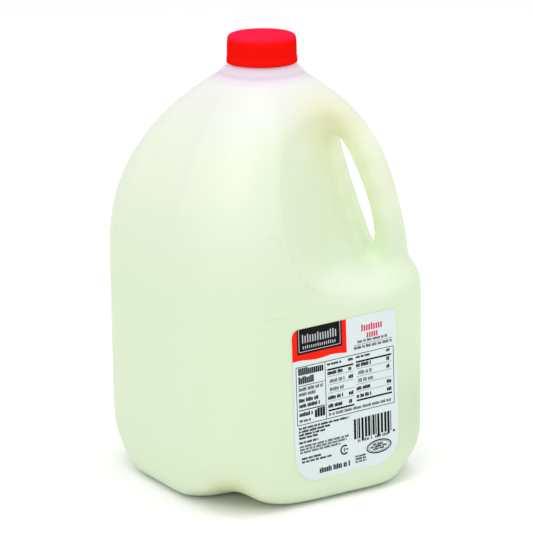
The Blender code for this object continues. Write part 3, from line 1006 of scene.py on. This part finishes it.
def drawTable(rng):
    left, right, top, low = table["left"], table["right"], table["top"], table["low"]
    thin = table["line"]
    for x in (left, right, table["divide"]):
        inkBox("black", x - thin, top, x + thin, low)
    for y in (top, low):
        inkBox("black", left, y - thin * 0.8, right, y + thin * 0.8)
    inkRows(rng, firstColumn)
    thick = table["bar"]
    for start, end, head, bar, foot in otherColumns:
        inkWords(rng, "black", start, start + 0.14, head, 0.018, 0.010, 0.84)
        inkWords(rng, "black", end - 0.05, end, head, 0.020, 0.012, 0.84)
        inkBox("black", start, bar - thick, end, bar + thick)
        inkBox("black", start, foot - thick, end, foot + thick)
        rows = table["rows"]
        for row in range(rows):
            y = bar + 0.024 + (foot - bar - 0.030) * row / (rows - 0.6)
            deep = 0.02 * (row in (1, 2))
            bold = row in (0, 3, 4)
            inkWords(rng, "black" if bold else "grey", start + deep, start + 0.15 + deep, y, 0.028,
                     0.0125, 0.86 if bold else 0.66)
            if row != 2:
                inkWords(rng, "black", end - 0.050, end, y, 0.028, 0.0155, 0.84)
            if row < rows - 1:
                inkBox("grey", start, y + 0.020, end, y + 0.0220)
    inkWords(rng, *tableFoot)


def drawStripes(rng):
    x = stripes["left"]
    while x < stripes["lastStart"]:
        wide = rng.choice(stripes["wide"])
        low = stripes["low"] if rng.random() > stripes["longShare"] else stripes["longLow"]
        inkBox("black", x, stripes["top"], min(x + wide, stripes["right"]), low)
        x += wide + rng.choice(stripes["apart"])
    inkRows(rng, stripeRows)


# The red field runs off the sheet's top left corner and has a waved lower edge
def drawRedField():
    bend = label["topCorner"]
    corner = []
    for angle in quarterTurn(90.0):
        corner.append(((bend + bend * math.cos(angle)) / label["width"],
                       (bend - bend * math.sin(angle)) / label["height"]))
    wave = []
    for step in range(redField["steps"] + 1):
        share = step / redField["steps"]
        swing = math.sin(2.0 * math.pi * (share * redField["waves"] + redField["shift"]))
        wave.append((redField["right"] * share,
                     redField["low"] + redField["drop"] * share + redField["wave"] * swing))
    inkShapes["red"].append(wave + [(redField["right"], 0.0)] + corner)


def drawOval(rng):
    inkRing("black", oval["x"], oval["y"], 0.124, 0.046, 0.0110)
    inkRing("grey", oval["x"], oval["y"], 0.104, 0.034, 0.0040)
    for y, half in ((0.865, 0.058), (0.880, 0.084), (0.895, 0.058)):
        inkWords(rng, "black", oval["x"] - half, oval["x"] + half, y, 0.015, 0.0110, 0.84)


def drawPrint():
    rng = random.Random(7)
    drawRedField()
    inkRows(rng, plateRows)
    drawTable(rng)
    for y, end in darkLines:
        inkWords(rng, "black", 0.040, end, y, 0.017, 0.0095, 0.86)
    for y, end in greyLines:
        inkWords(rng, "grey", 0.045, end, y, 0.017, 0.0095, 0.76)
    for y, end in lastLines:
        inkWords(rng, "black", 0.060, end, y, 0.017, 0.0105, 0.84)
    drawStripes(rng)
    inkRing("black", 0.470, 0.847, 0.042, 0.033, 0.013, 50.0, 265.0)
    inkBox("black", 0.462, 0.832, 0.470, 0.862)
    inkBox("black", 0.476, 0.842, 0.505, 0.850)
    drawOval(rng)
    for y in (0.913, 0.931, 0.949):
        inkWords(rng, "grey", 0.572, 0.684, y, 0.015, 0.0095, 0.84)
    inkWords(rng, "black", 0.225, 0.530, 0.945, 0.042, 0.0170, 0.78)


def buildInk():
    for ink, shapes in inkShapes.items():
        bm = bmesh.new()
        lift = label["lift"] + label["sheet"] + label["ink"] * inkLayer[ink]
        for shape in shapes:
            bm.faces.new([bm.verts.new(labelPoint(x, y, lift)) for x, y in shape])
        name = ink + "Ink"
        look = plainLook(name, label[ink], 0.5, 200.0, 0.00005, 0.1, 0.06)
        piece = addPiece(name, meshFrom(bm, name, False), look)
        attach(piece, "root")


buildPaper()
drawPrint()
buildInk()
print("stage: label")


# Floor, light and camera
studio = {
    "floorColour": (0.965, 0.965, 0.965),
    "floorWidth": 30.0,
    "floorDrop": 0.0002,
    "lampAimZ": 0.12,
    "worldStrength": 0.88,
    "keyPower": 9.0,
    "fillPower": 2.0,
    "topPower": 11.5,
}
view = {"azimuth": 13.0, "distance": 1.5, "elevation": 15.5, "roll": -0.6, "focal": 2655.0,
        "centreX": 264.0, "centreY": 262.5, "aimZ": 0.125, "sensor": 36.0}
photoSide = 533.0


def buildFloor():
    bm = bmesh.new()
    bmesh.ops.create_grid(bm, x_segments=1, y_segments=1, size=studio["floorWidth"])
    floorLook, tree, output = newMaterial("studioFloor")
    skin = addNode(tree, "ShaderNodeBsdfPrincipled", Roughness=0.8)
    noise, bump = noiseBump(tree, 3.0, 0.0005, 0.02)
    vary = addNode(tree, "ShaderNodeMixRGB")
    vary.inputs[1].default_value = (*studio["floorColour"], 1.0)
    vary.inputs[2].default_value = (*[c * 1.01 for c in studio["floorColour"]], 1.0)
    tree.links.new(noise.outputs["Fac"], vary.inputs["Fac"])
    tree.links.new(vary.outputs["Color"], skin.inputs["Base Color"])
    tree.links.new(skin.outputs["BSDF"], output.inputs["Surface"])
    floor = addPiece("studioFloor", meshFrom(bm, "studioFloor", False), floorLook)
    floor.location = (0.0, 0.0, -studio["floorDrop"])


def addLight(name, place, power, width):
    lamp = bpy.data.lights.new(name, "AREA")
    lamp.energy = power
    lamp.size = width
    holder = bpy.data.objects.new(name, lamp)
    holder.location = place
    aim = Vector((0.0, 0.0, studio["lampAimZ"])) - Vector(place)
    holder.rotation_euler = aim.to_track_quat("-Z", "Y").to_euler()
    bpy.context.scene.collection.objects.link(holder)


def buildLights():
    world = bpy.data.worlds.new("studioWorld")
    world.use_nodes = True
    shade = world.node_tree.nodes["Background"]
    shade.inputs["Color"].default_value = (1.0, 1.0, 1.0, 1.0)
    shade.inputs["Strength"].default_value = studio["worldStrength"]
    bpy.context.scene.world = world
    addLight("keyLight", (-0.4, -1.5, 1.9), studio["keyPower"], 1.2)
    addLight("fillLight", (1.7, 0.3, 0.8), studio["fillPower"], 1.2)
    addLight("topLight", (0.1, -0.1, 2.0), studio["topPower"], 1.6)


# The photo's camera: it circles the jug's axis, looks at aimZ and is rolled a little
def buildCamera():
    real = size["drawnToReal"]
    angle = math.radians(view["azimuth"])
    far = view["distance"]
    rise = view["aimZ"] + far * math.tan(math.radians(view["elevation"]))
    place = Vector((far * math.sin(angle), -far * math.cos(angle), rise))
    ahead = (Vector((0.0, 0.0, view["aimZ"])) - place).normalized()
    right = ahead.cross(Vector((0.0, 0.0, 1.0))).normalized()
    up = right.cross(ahead)
    roll = math.radians(view["roll"])
    rolledRight = right * math.cos(roll) + up * math.sin(roll)
    rolledUp = up * math.cos(roll) - right * math.sin(roll)
    lens = bpy.data.cameras.new("photoCamera")
    holder = bpy.data.objects.new("photoCamera", lens)
    turn = Matrix((rolledRight, rolledUp, -ahead)).transposed().to_4x4()
    turn.translation = place * real
    holder.matrix_world = turn
    lens.sensor_width = view["sensor"]
    lens.lens = view["focal"] / photoSide * view["sensor"]
    lens.shift_x = -(view["centreX"] - photoSide / 2.0) / photoSide
    lens.shift_y = (view["centreY"] - photoSide / 2.0) / photoSide
    bpy.context.scene.collection.objects.link(holder)
    bpy.context.scene.camera = holder


buildFloor()
buildLights()
buildCamera()
bpy.context.scene.view_settings.view_transform = "Standard"
bpy.context.scene.view_settings.look = "None"
print("stage: floor, lights and camera")
